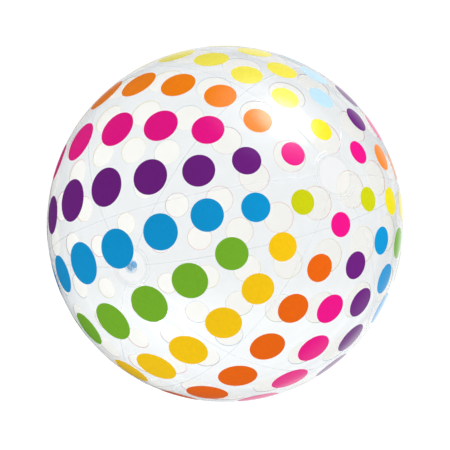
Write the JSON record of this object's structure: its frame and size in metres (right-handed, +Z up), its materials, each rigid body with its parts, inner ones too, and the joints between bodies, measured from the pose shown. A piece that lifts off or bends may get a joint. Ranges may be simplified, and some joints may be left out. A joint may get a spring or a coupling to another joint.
{
  "type": "inflatable beach ball",
  "caption": "Large inflated beach ball of clear vinyl gores welded edge to edge, with end discs, printed rows of coloured dots and a push-in air valve with stopper.",
  "frame": {"origin": "middle of the flat patch on the floor that the inflated ball rests on", "axes": "+Z up; the ball's seam axis lies in the YZ plane, with its plain end towards -Y and 18 degrees up, and its valve end towards +Y and 18 degrees down; +X completes the right-handed frame"},
  "size_m": [0.72, 0.7188, 0.7136],
  "materials": {
    "clear_vinyl": "clear, glossy, very slightly blue-grey soft vinyl film",
    "valve_vinyl": "translucent pale blue soft vinyl, satin",
    "ink_orange": "opaque printed ink under a glossy vinyl surface",
    "ink_pink": "opaque printed ink under a glossy vinyl surface",
    "ink_purple": "opaque printed ink under a glossy vinyl surface",
    "ink_blue": "opaque printed ink under a glossy vinyl surface",
    "ink_green": "opaque printed ink under a glossy vinyl surface",
    "ink_lime": "opaque printed ink under a glossy vinyl surface",
    "ink_yellow": "opaque printed ink under a glossy vinyl surface",
    "ink_white": "opaque printed ink under a glossy vinyl surface"
  },
  "bodies": {
    "root": {"panel_1": "clear_vinyl", "panel_2": "clear_vinyl", "panel_3": "clear_vinyl", "panel_4": "clear_vinyl", "panel_5": "clear_vinyl", "panel_6": "clear_vinyl", "end_disc": "clear_vinyl", "valve_end_disc": "clear_vinyl", "valve_flange": "valve_vinyl", "valve_bellows": "valve_vinyl"},
    "valve_stem": {"valve_stem": "valve_vinyl"},
    "stopper": {"stopper": "valve_vinyl", "stopper_strap": "valve_vinyl"},
    "check_flap": {"check_flap": "valve_vinyl"}
  },
  "joints": [
    {"name": "stem_slide", "type": "slide", "parent": "root", "child": "valve_stem", "axis": [0, 0.9511, -0.309], "range_m": [0, 0.012], "deforming": ["valve_bellows"]},
    {"name": "stopper_hinge", "type": "hinge", "parent": "valve_stem", "child": "stopper", "pos_m": [0, 0.34057, 0.2318], "axis": [-1, 0, 0], "range_deg": [0, 140]},
    {"name": "flap_hinge", "type": "hinge", "parent": "valve_stem", "child": "check_flap", "pos_m": [0, 0.32676, 0.24044], "axis": [1, 0, 0], "range_deg": [0, 35], "stiffness_Nm_per_rad": 0.0002}
  ]
}
